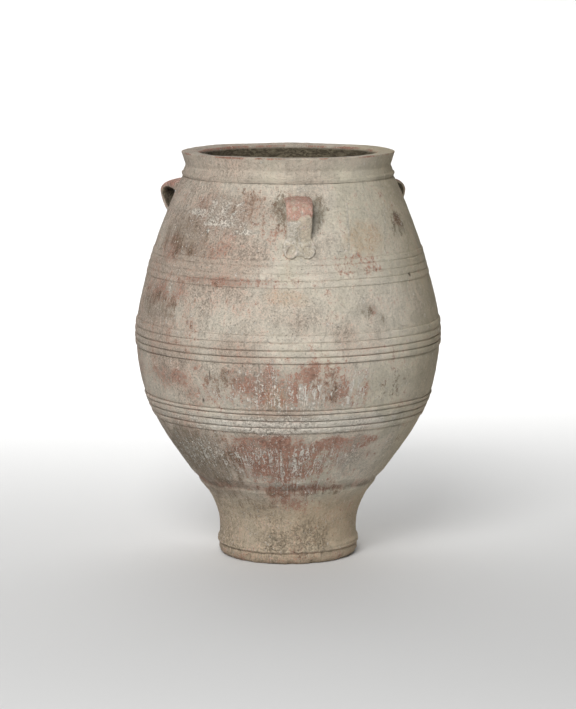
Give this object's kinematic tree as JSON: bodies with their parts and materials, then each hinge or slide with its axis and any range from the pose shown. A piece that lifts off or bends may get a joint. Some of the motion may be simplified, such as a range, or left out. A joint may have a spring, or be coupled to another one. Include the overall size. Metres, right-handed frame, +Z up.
{
  "type": "storage jar",
  "caption": "Tall hand-thrown terracotta storage jar: raised foot, swelling ribbed body, flat lip round a wide open mouth, strap handles with thumb-pressed ends.",
  "frame": {"origin": "on the ground, on the jar's axis, under the middle of its foot", "axes": "+Z up along the jar's axis; -Y points at the front handle, and the other two handles stand 120 degrees to either side"},
  "size_m": [0.6434, 0.6434, 0.85],
  "materials": {
    "washed_clay": "matt terracotta under a worn, pale grey-brown lime wash",
    "band_clay": "matt terracotta with worn wash, darker in the grooves",
    "lip_clay": "matt pale wash, rubbed through to red clay along the edges",
    "foot_clay": "matt pinkish clay, chipped and scuffed",
    "handle_clay": "matt red clay with remains of pale wash"
  },
  "bodies": {
    "root": {"base_slab": "foot_clay", "stem_section": "washed_clay", "lower_section": "washed_clay", "belly_section": "washed_clay", "shoulder_section": "washed_clay", "neck_section": "washed_clay", "rim_collar": "lip_clay", "lower_band": "band_clay", "belly_band": "band_clay", "shoulder_band": "band_clay", "front_handle": "handle_clay", "right_handle": "handle_clay", "left_handle": "handle_clay"}
  },
  "joints": []
}
